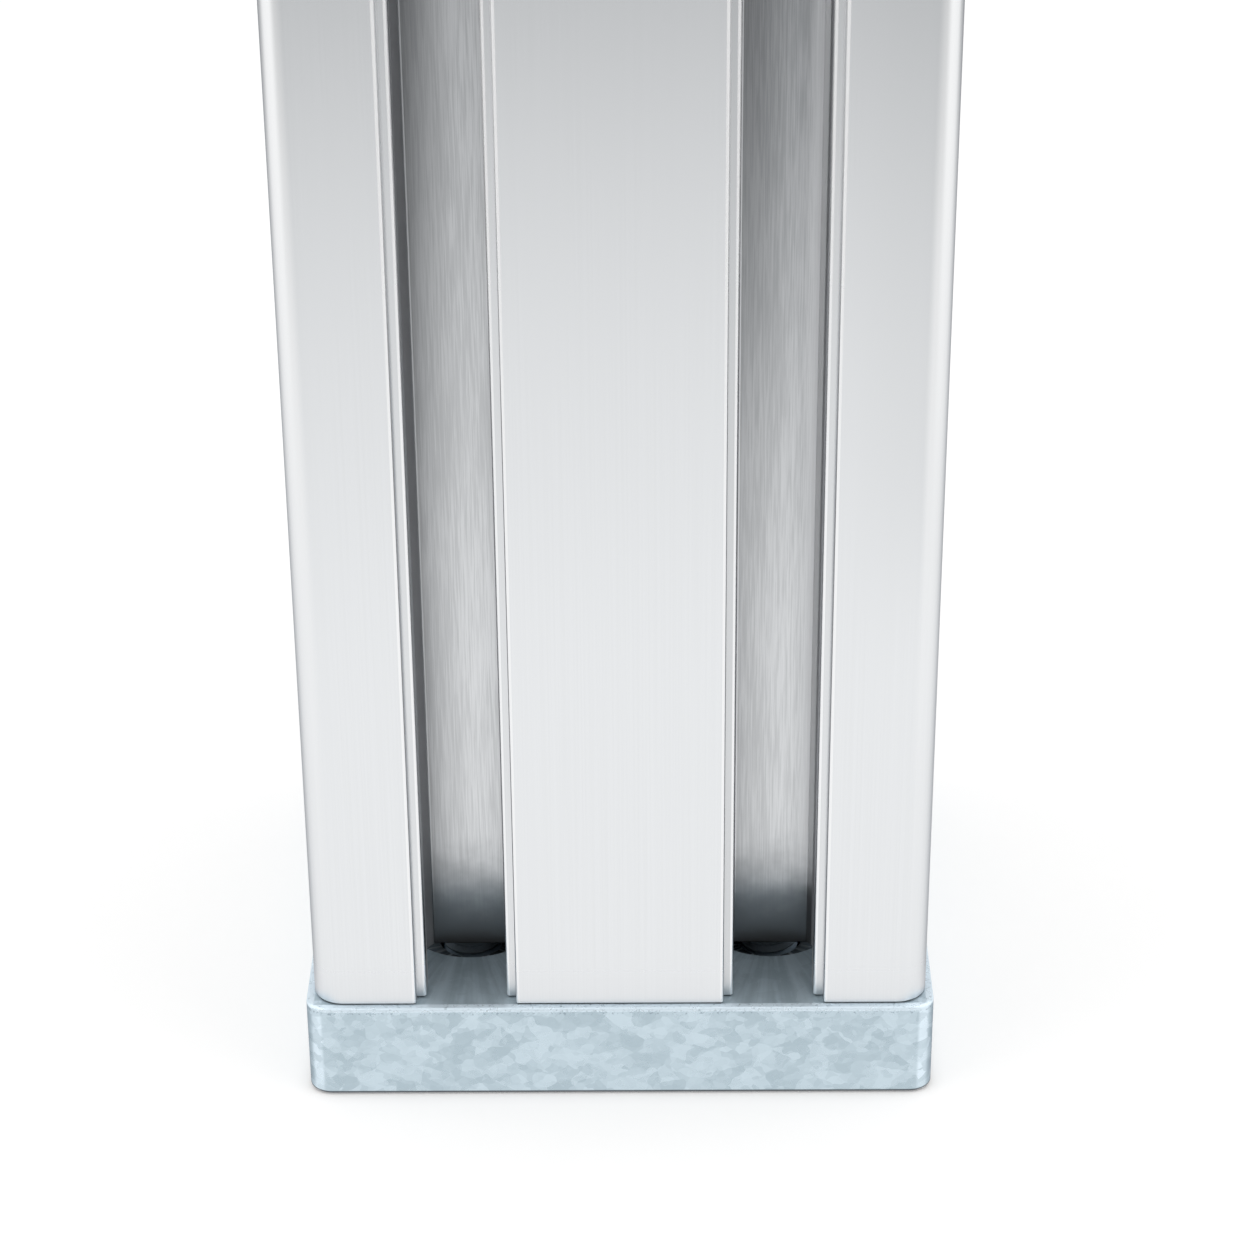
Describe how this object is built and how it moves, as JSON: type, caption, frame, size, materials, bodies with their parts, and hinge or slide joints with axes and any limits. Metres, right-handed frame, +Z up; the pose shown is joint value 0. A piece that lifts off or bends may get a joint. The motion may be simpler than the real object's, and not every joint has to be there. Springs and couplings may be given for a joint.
{
  "type": "profile leg with foot plate",
  "caption": "Square T-slot aluminium leg with open slots and core bores, screwed from below to a thick galvanised foot plate that lies flat on the floor.",
  "frame": {"origin": "middle of the foot plate's underside, on the floor", "axes": "+Z up the leg; the face that the picture shows looks along -Y, with +X to its right"},
  "size_m": [0.082, 0.082, 0.1735],
  "materials": {
    "anodised_aluminium": "natural anodised, satin, with fine extrusion lines along the leg",
    "galvanised_steel": "hot-dip galvanised, with a leafy spangle",
    "zinc_plated_steel": "bright zinc plated"
  },
  "bodies": {
    "root": {"profile_leg": "anodised_aluminium", "foot_plate": "galvanised_steel", "plate_screws": "zinc_plated_steel"}
  },
  "joints": []
}
